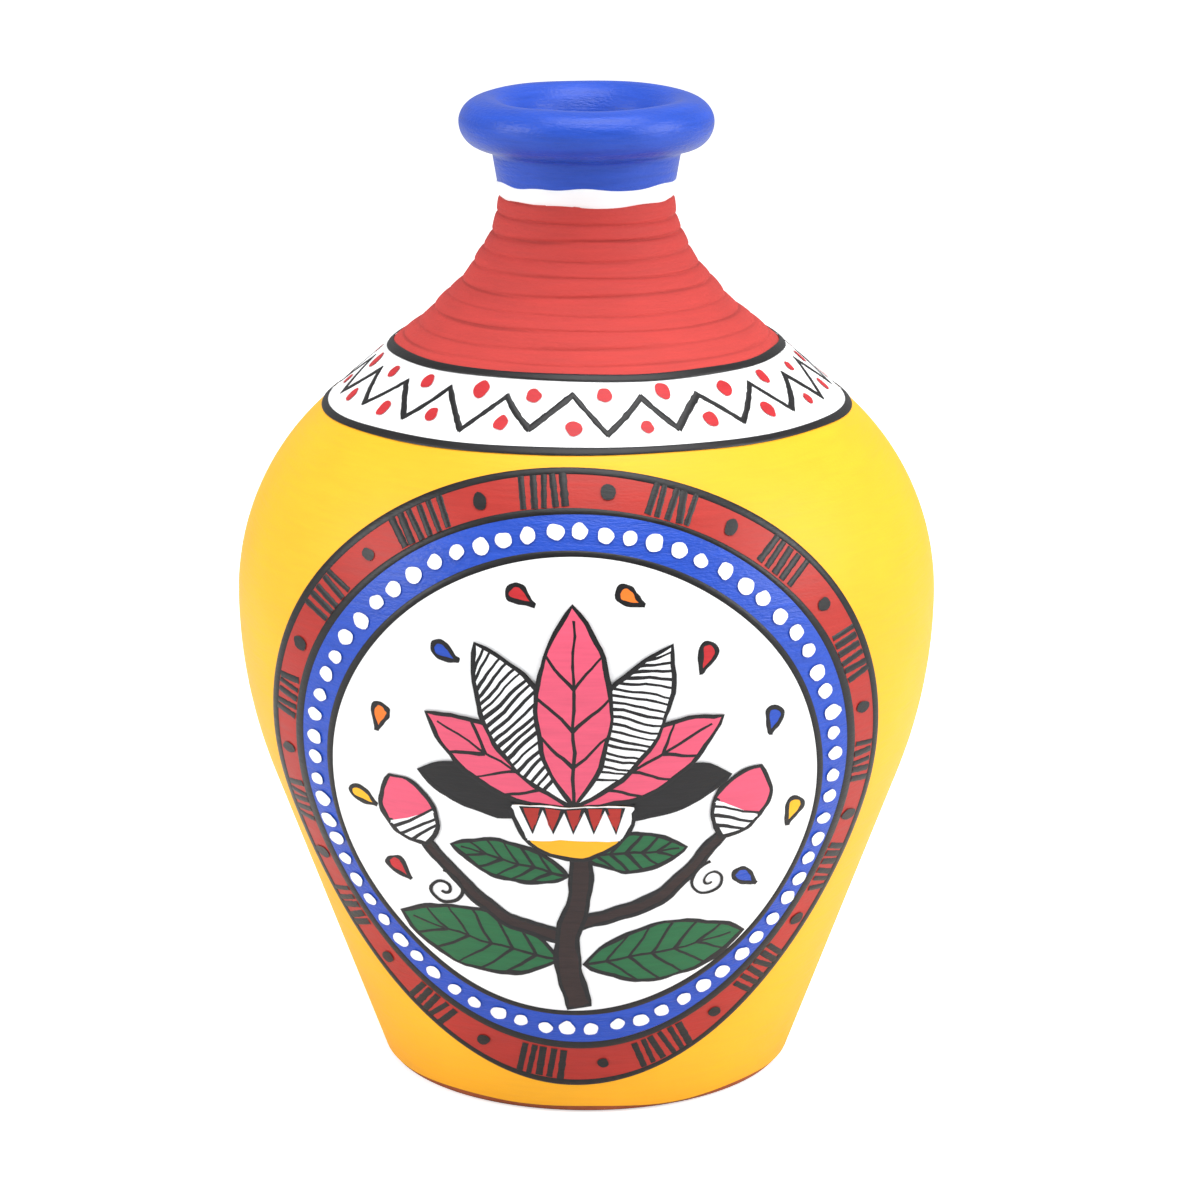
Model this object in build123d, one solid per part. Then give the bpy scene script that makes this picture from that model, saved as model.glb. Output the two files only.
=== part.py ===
from build123d import *
import math
import os

# A wheel-thrown terracotta jar, painted by hand. The jar stands on z = 0 with
# its axis on +Z, and the painted round picture faces -Y. All sizes are in mm.
# The fired clay is one piece. Each coat, field and line of paint is a thin film
# of its own that lies on the clay or on the coat below it.

# Outside of the clay. Depths are measured down from the rim's crest. A bend
# share is how much of the way from the belly's widest circle to the foot, or to
# the shoulder, its rounding takes, and the straight wall beyond leans to fit.
height = 200.0
foot_radius = 39.9
foot_edge = 2.5
low_bend_share = 0.1369
belly_radius = 71.0
belly_height = 99.0
high_bend_share = 0.46074
shoulder_radius = 39.3
shoulder_depth = 49.9
neck_radius = 17.2
neck_depth = 20.0
rim_radius = 25.3
rim_roll = 5.2
rim_under_deg = 250.0

# Throwing ridges of the neck, on a flare that steepens towards the top
ridge_count = 10
ridge_height = 0.45
ridge_growth_share = 1.2
flare_power_share = 1.85

# Inside of the clay
wall = 5.5
floor = 8.0
floor_corner = 15.0
throat_radius = 12.5
throat_bend = 6.0
funnel_depth = 13.0
funnel_crest_share = 0.684

# Paint films: base coats on the clay, then fields and lines on the coats. A film
# keeps the paint gap to what it lies on and to the film beside it.
coat = 0.2
field = 0.2
paint_gap = 0.04

# Painted bands
coat_start = 1.8
white_line_width = 3.3
band_height = 11.6
band_line_width = 1.05
coat_inside_depth = 8.5

# Zigzag of the white band, from one share of the band's height to another
tooth_count = 22
tooth_low_share = 0.25
tooth_high_share = 0.745
zigzag_width = 1.1

# The round picture. Each ring outline has its half width as a share of the
# belly radius, its half height and its rise as shares of the picture's half
# height, and the taper that makes it wider above its middle.
picture_offset = 2.4
picture_bottom = 7.1
picture_top_gap = 2.2
outer_line_out_shares = (0.827, 1.0, 0.0, 0.163)
outer_line_in_shares = (0.81, 0.978, 0.005, 0.145)
middle_line_out_shares = (0.765, 0.88, 0.02, 0.102)
middle_line_in_shares = (0.7415, 0.8536, 0.028, 0.098)
inner_line_out_shares = (0.675, 0.7605, 0.028, 0.043)
inner_line_in_shares = (0.66, 0.739, 0.03, 0.038)
ring_points = 16

# Worked out from the sizes above
overrun = 2 * height
roll_radius = rim_radius - rim_roll
roll_height = height - rim_roll
throat_top = height - funnel_depth
neck_height = height - neck_depth
shoulder_height = height - shoulder_depth
shoulder_rise = shoulder_height - belly_height
foot_lean = math.atan((belly_radius - foot_radius) / (belly_height * (1 - low_bend_share)))
shoulder_lean = math.atan((belly_radius - shoulder_radius) / (shoulder_rise * (1 - high_bend_share)))
foot_turn = (foot_radius + foot_edge * math.cos(foot_lean), foot_edge - foot_edge * math.sin(foot_lean))
band_bottom = shoulder_height - band_height
neck_line_top = neck_height + white_line_width
picture_top = band_bottom - picture_top_gap
picture_half = (picture_top - picture_bottom) / 2
picture_middle = (picture_top + picture_bottom) / 2
coat_top = paint_gap + coat
field_base = coat_top + paint_gap
field_top = field_base + field


def belly_walls(lift):
    """Wall from the foot to the shoulder, grown by lift: cone, two arcs, cone.

    Points are in the section's plane, radius first, then height.
    """
    low = (foot_turn[0] + lift * math.cos(foot_lean), foot_turn[1] - lift * math.sin(foot_lean))
    high = (
        shoulder_radius + lift * math.cos(shoulder_lean),
        shoulder_height + lift * math.sin(shoulder_lean),
    )
    belly = (belly_radius + lift, belly_height)
    low_reach = belly_height - low[1] - (belly[0] - low[0]) / math.tan(foot_lean)
    high_reach = high[1] - (belly[0] - high[0]) / math.tan(shoulder_lean) - belly_height
    low_bend = (
        belly[0] - low_reach * math.sin(foot_lean),
        belly_height - low_reach * (1 + math.cos(foot_lean)),
    )
    high_bend = (
        belly[0] - high_reach * math.sin(shoulder_lean),
        belly_height + high_reach * (1 + math.cos(shoulder_lean)),
    )
    return [
        Line(low, low_bend),
        TangentArc(low_bend, belly, tangent=(math.sin(foot_lean), math.cos(foot_lean))),
        TangentArc(belly, high_bend, tangent=(0, 1)),
        Line(high_bend, high),
    ]


def flare_point(share, lift):
    """Point of the neck's flare, from the shoulder up, moved square to the flare."""
    up = share**ridge_growth_share
    reach, rise = shoulder_radius - neck_radius, neck_height - shoulder_height
    slope = flare_power_share * reach / rise * (1 - up) ** (flare_power_share - 1)
    radius = neck_radius + reach * (1 - up) ** flare_power_share
    length = math.hypot(1, slope)
    return (radius + lift / length, shoulder_height + up * rise + lift * slope / length)


def ridges(start, lift):
    """Throwing ridges of the neck: one arc each, from groove to groove."""
    grooves = [start]
    grooves += [flare_point(i / ridge_count, lift) for i in range(1, ridge_count + 1)]
    crests = [flare_point((i + 0.5) / ridge_count, lift + ridge_height) for i in range(ridge_count)]
    return [
        ThreePointArc(low, crest, high)
        for low, crest, high in zip(grooves, crests, grooves[1:])
    ]


def funnel(lift):
    """Two arcs of the mouth, from the rim's crest down to the throat, grown by lift."""
    reach = roll_radius - throat_radius
    small = funnel_crest_share * reach
    large = (reach**2 + funnel_depth**2 - 2 * funnel_depth * small) / (2 * (reach - small))
    turn = math.degrees(math.atan2(funnel_depth - small, reach - large))
    return [
        CenterArc((roll_radius, height - small), small + lift, 90, turn - 90),
        CenterArc((throat_radius + large, throat_top), large + lift, turn, 180 - turn),
    ]


def collar_and_roll(start, lift):
    """Straight collar from its start at the neck, and the rolled rim that it meets."""
    under = math.radians(rim_under_deg)
    middle = Vector(roll_radius, roll_height)
    meeting = middle + Vector(rim_roll * math.cos(under), rim_roll * math.sin(under))
    along = (meeting - Vector(neck_radius, neck_height)).normalized()
    back = start - middle
    half = back.dot(along)
    end = start - along * (half + math.sqrt(half**2 - back.dot(back) + (rim_roll + lift) ** 2))
    turn = 360 + math.degrees(math.atan2(end.Y - middle.Y, end.X - middle.X))
    return [Line(start, end), CenterArc(middle, rim_roll + lift, turn, 90 + 360 - turn)]


def outside(lift):
    """Outline from the foot up, over the rim and down to the throat, grown by lift."""
    walls = belly_walls(lift)
    neck_arcs = ridges(walls[-1] @ 1, lift)
    return [*walls, *neck_arcs, *collar_and_roll(neck_arcs[-1] @ 1, lift), *funnel(lift)]


def inside():
    """Outline of the hollow, from the middle of the floor up to the throat's top."""
    wall_in = belly_walls(-wall)
    low, high = wall_in[0] @ 0, wall_in[-1] @ 1
    along = (math.sin(foot_lean), math.cos(foot_lean))
    corner = low.X + (floor - low.Y) * math.tan(foot_lean)
    reach = floor_corner * math.tan((math.pi / 2 - foot_lean) / 2)
    floor_end = (corner - reach, floor)
    wall_start = (corner + reach * along[0], floor + reach * along[1])
    throat_corner = high.Y + (high.X - throat_radius) / math.tan(shoulder_lean)
    throat_start = (
        throat_radius + throat_bend * math.sin(shoulder_lean),
        throat_corner - throat_bend * math.cos(shoulder_lean),
    )
    throat_bottom = (throat_radius, throat_corner + throat_bend)
    return [
        Line((0, floor), floor_end),
        TangentArc(floor_end, wall_start, tangent=(1, 0)),
        Line(wall_start, wall_in[0] @ 1),
        wall_in[1],
        wall_in[2],
        Line(wall_in[3] @ 0, throat_start),
        TangentArc(throat_start, throat_bottom, tangent=(-math.sin(shoulder_lean), math.cos(shoulder_lean))),
        Line(throat_bottom, (throat_radius, throat_top)),
    ]


def clay_vessel():
    """The thrown clay: flat foot, round belly, ridged neck, rolled rim, open throat."""
    foot_arc = CenterArc((foot_radius, foot_edge), foot_edge, -90, 90 - math.degrees(foot_lean))
    base = Polyline((0, floor), (0, 0), (foot_radius, 0))
    half_section = make_face([*outside(0), foot_arc, base, *inside()])
    return revolve(Plane.XZ * half_section, Axis.Z)


def film_section(low, high):
    """Half section of a film all over the outside, between two lifts."""
    under, over = outside(low), outside(high)
    ends = [Line(under[0] @ 0, over[0] @ 0), Line(under[-1] @ 1, over[-1] @ 1)]
    return make_face([*under, *over, *ends])


def core_section(lift):
    """Half section from the axis out to the wall grown by lift, below the neck."""
    walls = belly_walls(lift)
    top, bottom = walls[-1] @ 1, walls[0] @ 0
    ends = Polyline(top, (0, top.Y), (0, bottom.Y), bottom)
    return make_face([*walls, ends])


def core(lift):
    """Solid from the axis out to the wall grown by lift, below the neck."""
    return revolve(Plane.XZ * core_section(lift), Axis.Z)


coat_section = film_section(paint_gap, coat_top)
field_section = film_section(field_base, field_top)
inner_core = core(field_base)
outer_core = core(field_top)


def block(low, high):
    """Rectangle of the section between two corners."""
    middle = ((low[0] + high[0]) / 2, (low[1] + high[1]) / 2)
    return Pos(*middle) * Rectangle(high[0] - low[0], high[1] - low[1])


def belt(section, bottom, top):
    """Film turned once round the jar, between two heights, less half the gap at each."""
    low, high = (0, bottom + paint_gap / 2), (overrun, top - paint_gap / 2)
    return revolve(Plane.XZ * (section & block(low, high)), Axis.Z)


def rim_blue_coat():
    """Blue coat of the collar and rim, which runs a little way down inside."""
    strip = coat_section & block((0, neck_line_top + paint_gap / 2), (overrun, overrun))
    strip -= block((0, 0), (roll_radius - rim_roll, height - coat_inside_depth))
    return revolve(Plane.XZ * strip, Axis.Z)


def base_coats():
    """Coats that lie on the clay, from the rim down."""
    return {
        "rim_blue_coat": rim_blue_coat(),
        "neck_white_line": belt(coat_section, neck_height, neck_line_top),
        "neck_red_coat": belt(coat_section, shoulder_height, neck_height),
        "shoulder_white_coat": belt(coat_section, band_bottom, shoulder_height),
        "belly_yellow_coat": belt(coat_section, coat_start, band_bottom),
    }


def band_radius(share):
    """Radius of the clay part of the way up the white band."""
    level = band_bottom + share * band_height
    across = core_section(0) & block((0, 0), (overrun, level))
    return across.edges().filter_by(Axis.X).sort_by(Axis.Y)[-1].length


def band_zigzag():
    """Closed zigzag stroke round the white band, drawn as seen from above."""
    radii = (band_radius(tooth_low_share), band_radius(tooth_high_share))
    turn = 180.0 / tooth_count
    corners = [Vector(radii[i % 2], 0).rotate(Axis.Z, i * turn) for i in range(2 * tooth_count)]
    middle = make_face(Polyline(*corners, close=True))
    stroke = offset(middle, zigzag_width / 2, kind=Kind.INTERSECTION)
    stroke -= offset(middle, -zigzag_width / 2, kind=Kind.INTERSECTION)
    prism = extrude(Pos(0, 0, belly_height) * stroke, amount=height)
    return (prism & outer_core) - inner_core


def shoulder_band():
    """Lines and zigzag on the white band."""
    half = band_line_width / 2
    return {
        "upper_band_line": belt(field_section, shoulder_height - half, shoulder_height + half),
        "lower_band_line": belt(field_section, band_bottom - half, band_bottom + half),
        "band_zigzag": band_zigzag(),
    }


def ring_face(shares, grow):
    """Filled egg-shaped outline of the picture, as seen from the front."""
    half_width = shares[0] * belly_radius + grow
    half_height = shares[1] * picture_half + grow
    rise, taper = shares[2] * picture_half, shares[3]
    points = []
    for i in range(ring_points):
        angle = math.radians(360.0 * i / ring_points)
        across = half_width * math.cos(angle) * (1 + taper * math.sin(angle))
        up = half_height * math.sin(angle)
        points.append((across - picture_offset, picture_middle + rise + up))
    return make_face(Spline(points, periodic=True))


def ring(outer_shares, inner_shares):
    """Band between two outlines of the picture, less half the paint gap on each side."""
    return ring_face(outer_shares, -paint_gap / 2) - ring_face(inner_shares, paint_gap / 2)


def on_picture(sketch):
    """Film of a sketch that is drawn on the belly as seen from the front."""
    prism = extrude(Plane.XZ * sketch, amount=overrun)
    return (prism & outer_core) - inner_core


def picture():
    """White disc, the blue and the red ring round it, and the lines between them."""
    return {
        "picture_white_ground": on_picture(ring_face(inner_line_in_shares, -paint_gap / 2)),
        "inner_ring_line": on_picture(ring(inner_line_out_shares, inner_line_in_shares)),
        "blue_ring": on_picture(ring(middle_line_in_shares, inner_line_out_shares)),
        "middle_ring_line": on_picture(ring(middle_line_out_shares, middle_line_in_shares)),
        "red_ring": on_picture(ring(outer_line_in_shares, middle_line_out_shares)),
        "outer_ring_line": on_picture(ring(outer_line_out_shares, outer_line_in_shares)),
    }


nodes = {"clay_vessel": clay_vessel()}
nodes |= base_coats()
nodes |= shoulder_band()
nodes |= picture()

os.makedirs("parts", exist_ok=True)
for name, shape in nodes.items():
    shape.label = name
    export_step(shape, f"parts/{name}.step")
    print(name, len(shape.solids()), "solids", round(shape.volume, 1), "mm3")
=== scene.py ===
import math
import random

import bmesh
import bpy
from bpy.props import FloatProperty, FloatVectorProperty, IntProperty, PointerProperty
from mathutils import Matrix, Vector


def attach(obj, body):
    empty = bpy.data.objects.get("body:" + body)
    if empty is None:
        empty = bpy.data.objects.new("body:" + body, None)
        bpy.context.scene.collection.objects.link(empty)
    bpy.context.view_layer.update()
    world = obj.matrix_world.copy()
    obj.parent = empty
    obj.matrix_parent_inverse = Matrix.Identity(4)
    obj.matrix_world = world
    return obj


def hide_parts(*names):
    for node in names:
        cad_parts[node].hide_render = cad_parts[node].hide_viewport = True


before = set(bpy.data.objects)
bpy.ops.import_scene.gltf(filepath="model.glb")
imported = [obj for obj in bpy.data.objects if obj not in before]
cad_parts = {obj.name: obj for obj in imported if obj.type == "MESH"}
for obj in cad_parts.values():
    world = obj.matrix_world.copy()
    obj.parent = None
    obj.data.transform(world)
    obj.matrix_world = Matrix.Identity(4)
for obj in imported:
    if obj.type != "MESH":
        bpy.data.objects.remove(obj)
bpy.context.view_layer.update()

bl_info = {
    "name": "Painted Terracotta Jar",
    "version": (1, 0, 0),
    "blender": (4, 5, 0),
    "location": "View3D > Sidebar > Jar",
    "description": "Builds a hand-painted terracotta jar piece by piece",
    "category": "Add Mesh",
}

TURN = 2 * math.pi
QUARTER = math.pi / 2

# Points nearer to each other than this, in metres, are one point.
STROKE_WELD = 0.0000005
SPIN_WELD = 0.000002
SHEET_WELD = 0.000005


def tint(red, green, blue):
    """Linear colour of a screen colour, each channel from 0 to 255."""
    channels = []
    for value in (red, green, blue):
        share = value / 255
        channels.append(share / 12.92 if share <= 0.04045 else ((share + 0.055) / 1.055) ** 2.4)
    return (*channels, 1.0)


def metres(name, default, description):
    """Setting for a length."""
    return FloatProperty(name=name, description=description, default=default, unit="LENGTH", precision=5)


def number(name, default, description):
    """Setting for a share or a power, with no unit."""
    return FloatProperty(name=name, description=description, default=default, precision=3)


def degrees(name, default, description):
    """Setting for a slope."""
    return FloatProperty(name=name, description=description, default=math.radians(default), subtype="ANGLE")


def copies(name, default, description):
    """Setting for a number of copies."""
    return IntProperty(name=name, description=description, default=default, min=1)


def hue(name, screen, description):
    """Setting for the colour of a paint or of the clay."""
    return FloatVectorProperty(
        name=name, description=description, default=tint(*screen), size=4, subtype="COLOR", min=0.0, max=1.0
    )


class JarShape(bpy.types.PropertyGroup):
    """Sizes of the clay, as in the CAD model."""

    height: metres("Height", 0.2, "Foot to the crest of the rim")
    foot_radius: metres("Foot radius", 0.0399, "Flat foot that the jar stands on")
    foot_edge: metres("Foot edge", 0.0025, "Rounding of the foot's edge")
    foot_lean: degrees("Foot lean", 20.0, "Slope of the wall above the foot, from upright")
    belly_radius: metres("Belly radius", 0.071, "Widest part of the clay")
    belly_height: metres("Belly height", 0.099, "Height of the widest part")
    shoulder_radius: metres("Shoulder radius", 0.0393, "Where the red neck begins")
    shoulder_height: metres("Shoulder height", 0.1501, "Height at which the red neck begins")
    shoulder_lean: degrees("Shoulder lean", 49.0, "Slope of the shoulder, from upright")
    neck_radius: metres("Neck radius", 0.0172, "Narrowest part of the neck")
    neck_height: metres("Neck height", 0.18, "Height of the narrowest part")
    collar_flare: number("Collar flare", 0.17, "How fast the collar widens with height")
    rim_radius: metres("Rim radius", 0.0253, "Outside of the rolled rim")
    rim_roll: metres("Rim roll", 0.0052, "Radius of the roll itself")
    rim_dip: metres("Rim dip", 0.0011, "How much lower the uneven crest is at the front")
    rim_corner: metres("Rim corner", 0.0018, "Soft corner between collar and roll")
    ridge_count: copies("Ridges", 10, "Throwing ridges on the neck")
    ridge_height: metres("Ridge height", 0.00052, "Depth of the grooves between the ridges")
    groove_width: number("Groove width", 0.12, "Half width of a groove, as a share of a ridge")
    ridge_start: metres("Ridge start", 0.0022, "Height over which the ridges fade in")
    ridge_growth: number("Ridge growth", 1.2, "How much closer together the upper ridges are")
    flare_power: number("Flare power", 1.85, "Shape of the neck's curve")
    wall: metres("Wall", 0.0055, "Thickness of the clay")
    floor: metres("Floor", 0.008, "Thickness of the clay below the hollow")
    throat_radius: metres("Throat radius", 0.0125, "Narrowest part of the way in")
    throat_rise: metres("Throat rise", 0.022, "From the shoulder up to the throat's lower end")
    funnel_depth: metres("Funnel depth", 0.013, "From the rim's crest down to the throat")
    band_height: metres("Band height", 0.0116, "White band on the shoulder")
    coat: metres("Coat", 0.00024, "How far the paint stands off the clay")
    turn_steps: copies("Turn steps", 256, "Facets once round the jar")


class JarPaint(bpy.types.PropertyGroup):
    """Sizes of the brushwork."""

    film: metres("Film", 0.00012, "Thickness of one layer of paint")
    line_width: metres("Line width", 0.00105, "Width of a black brush line")
    belly_start: metres("Belly start", 0.0018, "Height at which the yellow coat begins")
    coat_overlap: metres("Coat overlap", 0.0003, "How far a coat reaches under the next one")
    line_overlap: metres("Line overlap", 0.0016, "How far the neck's coats reach under the white line")
    white_line_low: metres("White line height", 0.1799, "Lower edge of the white line on the neck")
    white_line_width: metres("White line width", 0.0034, "Width of the white line on the neck")
    tooth_count: copies("Teeth", 22, "Teeth of the zigzag")
    tooth_low: metres("Tooth low", 0.1415, "Height of the zigzag's lower corners")
    tooth_high: metres("Tooth high", 0.147, "Height of the zigzag's upper corners")
    picture_offset: metres("Picture offset", 0.0024, "How far the picture is to the left of the front")
    picture_bottom: metres("Picture bottom", 0.0071, "Height of the picture's lowest point")
    picture_top_gap: metres("Picture top gap", 0.0022, "From the picture's top to the white band")
    bead_count: copies("Beads", 68, "White beads in the blue ring")
    bead_radius: metres("Bead radius", 0.00148, "Radius of one bead")
    panel_count: copies("Panels", 15, "Groups of bars in the red ring")
    bar_pitch: metres("Bar pitch", 0.00195, "Distance between two bars of a group")
    cell: metres("Cell", 0.0018, "Size of the facets of a filled shape")


class JarColours(bpy.types.PropertyGroup):
    """Colours of the clay and the paints."""

    clay: hue("Clay", (168, 92, 58), "Fired clay without a glaze")
    blue: hue("Blue", (36, 76, 183), "Rim, collar and ring of beads")
    white: hue("White", (244, 245, 246), "Bands, beads and ground of the picture")
    red: hue("Red", (190, 62, 57), "Neck")
    yellow: hue("Yellow", (255, 182, 34), "Belly")
    black: hue("Black", (22, 21, 23), "Lines, bars and dots")
    ring_red: hue("Ring red", (176, 46, 38), "Outer ring of the picture")
    dot_red: hue("Dot red", (190, 42, 48), "Dots of the white band and red drops")
    green: hue("Green", (36, 102, 62), "Leaves")
    pink: hue("Pink", (226, 90, 118), "Petals")
    orange: hue("Orange", (240, 122, 42), "Some of the drops")
    brown: hue("Brown", (50, 37, 36), "Stem and stalks")


# Colours and materials


def add_node(tree, kind, **values):
    """New shader node with its attributes set."""
    node = tree.nodes.new(kind)
    for name, value in values.items():
        setattr(node, name, value)
    return node


def noise_layer(tree, stretch, scale, detail=4.0):
    """Noise on the object's own coordinates, with stretch as its scale up the jar."""
    place = add_node(tree, "ShaderNodeTexCoord")
    mapping = add_node(tree, "ShaderNodeMapping")
    mapping.inputs["Scale"].default_value = (1.0, 1.0, stretch)
    noise = add_node(tree, "ShaderNodeTexNoise")
    noise.inputs["Scale"].default_value = scale
    noise.inputs["Detail"].default_value = detail
    noise.inputs["Roughness"].default_value = 0.55
    tree.links.new(place.outputs["Object"], mapping.inputs["Vector"])
    tree.links.new(mapping.outputs["Vector"], noise.inputs["Vector"])
    return noise.outputs["Fac"]


def ramp(tree, factor, low, high):
    """Colours of a factor between two stops, each a position and a colour."""
    node = add_node(tree, "ShaderNodeValToRGB")
    elements = node.color_ramp.elements
    elements[0].position, elements[0].color = low
    elements[1].position, elements[1].color = high
    tree.links.new(factor, node.inputs["Fac"])
    return node.outputs["Color"]


def shade(colour, factor):
    """The colour, darker or lighter by a factor."""
    return (*[min(1.0, channel * factor) for channel in colour[:3]], 1.0)


def grey(level):
    """Grey, from 0 for black to 1 for white."""
    return (level, level, level, 1.0)


def mix(tree, factor, first, second, mode="MIX"):
    """Mix of two colour sockets."""
    node = add_node(tree, "ShaderNodeMix", data_type="RGBA", blend_type=mode)
    node.inputs[0].default_value = factor
    tree.links.new(first, node.inputs[6])
    tree.links.new(second, node.inputs[7])
    return node.outputs[2]


def painted(name, colour, rough=0.5, streak=0.06, mottle=0.05, bump=0.25, gloss=0.3, shadow=0.0):
    """Brushed paint: streaks round the jar, soft mottling, fine bumps, sheen and painted shade in grooves.
    """
    finish = bpy.data.materials.new(name)
    finish.use_nodes = True
    tree = finish.node_tree
    shader = tree.nodes["Principled BSDF"]
    streaks = noise_layer(tree, 14.0, 90.0)
    clouds = noise_layer(tree, 1.0, 45.0, detail=3.0)
    fine = noise_layer(tree, 3.0, 900.0, detail=2.0)
    brushed = ramp(tree, streaks, (0.3, shade(colour, 1 - streak)), (0.7, shade(colour, 1 + streak)))
    clouded = ramp(tree, clouds, (0.3, grey(1 - mottle)), (0.7, grey(1)))
    base = mix(tree, 1.0, brushed, clouded, "MULTIPLY")
    # Painted shade: the colour darkens down in the neck's grooves, where the paint also lies a little
    # darker.
    if shadow:
        depth = add_node(tree, "ShaderNodeAttribute", attribute_name="groove").outputs["Fac"]
        deep = ramp(tree, depth, (0.35, grey(1)), (0.95, grey(1 - shadow)))
        base = mix(tree, 1.0, base, deep, "MULTIPLY")
    tree.links.new(base, shader.inputs["Base Color"])
    sheen = ramp(tree, streaks, (0.2, grey(rough - 0.06)), (0.8, grey(rough + 0.08)))
    tree.links.new(sheen, shader.inputs["Roughness"])
    shader.inputs["Specular IOR Level"].default_value = gloss
    heights = [ramp(tree, noise, (0.25, grey(0)), (0.75, grey(1))) for noise in (streaks, fine)]
    bumps = add_node(tree, "ShaderNodeBump")
    bumps.inputs["Strength"].default_value = bump
    bumps.inputs["Distance"].default_value = 0.0002
    tree.links.new(mix(tree, 0.5, *heights), bumps.inputs["Height"])
    tree.links.new(bumps.outputs["Normal"], shader.inputs["Normal"])
    return finish


FINISHES = {
    "clay": {"rough": 0.85, "streak": 0.14, "mottle": 0.2, "bump": 0.6},
    "blue": {"rough": 0.33, "streak": 0.1, "bump": 0.7},
    "white": {"streak": 0.01, "mottle": 0.02, "bump": 0.15},
    "red": {"rough": 0.72, "mottle": 0.08, "bump": 0.6, "shadow": 0.28},
    "yellow": {"streak": 0.03, "mottle": 0.06},
    "black": {"rough": 0.4, "streak": 0.3, "mottle": 0.2, "gloss": 0.36},
    "ring_red": {"rough": 0.45, "streak": 0.08, "mottle": 0.12},
    "dot_red": {"rough": 0.45, "streak": 0.1},
    "green": {"streak": 0.1},
    "pink": {},
    "orange": {},
    "brown": {"streak": 0.2},
}


def material(key):
    """The material of a key, made once."""
    name = key.replace("_", " ") + " finish"
    made = bpy.data.materials.get(name)
    return made or painted(name, getattr(bpy.context.scene.jar_colours, key), **FINISHES[key])


# The wall of the jar, and what is drawn on it

# Share of a groove's depth that is a narrow cut. The rest is a soft hollow from crest to crest.
CUT_SHARE = 0.65


def wall_radius(shape, level):
    """Outside radius of the clay at a height, from the foot to the collar."""
    lean, slope = shape.foot_lean, shape.shoulder_lean
    low_r = shape.foot_radius + shape.foot_edge * math.cos(lean)
    low_z = shape.foot_edge * (1 - math.sin(lean))
    reach = shape.belly_height - low_z - (shape.belly_radius - low_r) / math.tan(lean)
    rise = shape.shoulder_height - (shape.belly_radius - shape.shoulder_radius) / math.tan(slope)
    rise -= shape.belly_height
    if level <= shape.belly_height - reach * (1 + math.cos(lean)):
        return low_r + (level - low_z) * math.tan(lean)
    if level <= shape.belly_height + rise * (1 + math.cos(slope)):
        above = level > shape.belly_height
        bend = rise / math.tan(slope / 2) if above else reach / math.tan(lean / 2)
        return shape.belly_radius - bend + math.sqrt(bend**2 - (level - shape.belly_height) ** 2)
    if level <= shape.shoulder_height:
        return shape.shoulder_radius + (shape.shoulder_height - level) * math.tan(slope)
    if level <= shape.neck_height:
        up = (level - shape.shoulder_height) / (shape.neck_height - shape.shoulder_height)
        spread = shape.shoulder_radius - shape.neck_radius
        flare = shape.neck_radius + spread * (1 - up) ** shape.flare_power
        start = min(1.0, (level - shape.shoulder_height) / shape.ridge_start)
        return flare + shape.ridge_height * start * (CUT_SHARE - groove(shape, up))
    return shape.neck_radius + shape.collar_flare * max(0.0, level - shape.neck_height)


def groove(shape, up):
    """How deep the neck is cut at a share of its height: 1 in the deepest groove, 0 on a crest."""
    step = up ** (1 / shape.ridge_growth) * shape.ridge_count
    away = abs(step - round(step))
    worn = 0.8 + 0.2 * math.sin(2.4 * round(step) + 1)
    cut = worn * math.exp(-((away / shape.groove_width) ** 2))
    return CUT_SHARE * cut + (1 - CUT_SHARE) * (1 - 2 * away) ** 2


def wall_normal(shape, level):
    """Outward and upward parts of the wall's direction at a height."""
    step = 0.0008
    slope = (wall_radius(shape, level + step) - wall_radius(shape, level - step)) / (2 * step)
    length = math.hypot(1, slope)
    return 1 / length, -slope / length


def on_front(shape):
    """Wrap that lays a drawing seen from the front, (x, z, lift), on the wall."""

    def wrap(point):
        radius = wall_radius(shape, point.y)
        out, up = wall_normal(shape, point.y)
        x = max(-radius * 0.999, min(radius * 0.999, point.x))
        y = -math.sqrt(radius**2 - x**2)
        lift = point.z
        return Vector((x + lift * out * x / radius, y + lift * out * y / radius, point.y + lift * up))

    return wrap


def on_turn(shape):
    """Wrap that lays a drawing unrolled round the jar, (angle, height, lift), on the wall.

    The angle runs from the front, -Y, towards +X.
    """

    def wrap(point):
        out, up = wall_normal(shape, point.y)
        radius = wall_radius(shape, point.y) + point.z * out
        return Vector((radius * math.sin(point.x), -radius * math.cos(point.x), point.y + point.z * up))

    return wrap


def flat(x, y):
    """Point or direction of a flat drawing."""
    return Vector((x, y, 0))


def stray(source, size):
    """Random step to either side."""
    return source.uniform(-size, size)


class Waver:
    """Smooth random wander of a painted edge, the same on every run."""

    def __init__(self, seed, size, waves=9):
        source = random.Random(seed)
        self.parts = [
            (size * source.uniform(0.3, 1.0) / math.sqrt(wave), wave, source.uniform(0, TURN))
            for wave in range(2, 2 + waves)
        ]

    def at(self, share):
        """Wander at a share of the way round, or along."""
        return sum(size * math.sin(TURN * wave * share + phase) for size, wave, phase in self.parts)


def wavering(half, edge, swell=1):
    """Half width of a brush stroke along it, with a wavering edge."""
    return lambda share: half * (swell + edge.at(share))


def mesh_from(name, bm):
    """Turn a bmesh into a mesh."""
    mesh = bpy.data.meshes.new(name)
    bm.to_mesh(mesh)
    bm.free()
    return mesh


def add_object(name, data):
    """New object in the scene."""
    made = bpy.data.objects.new(name, data)
    bpy.context.scene.collection.objects.link(made)
    return made


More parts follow.
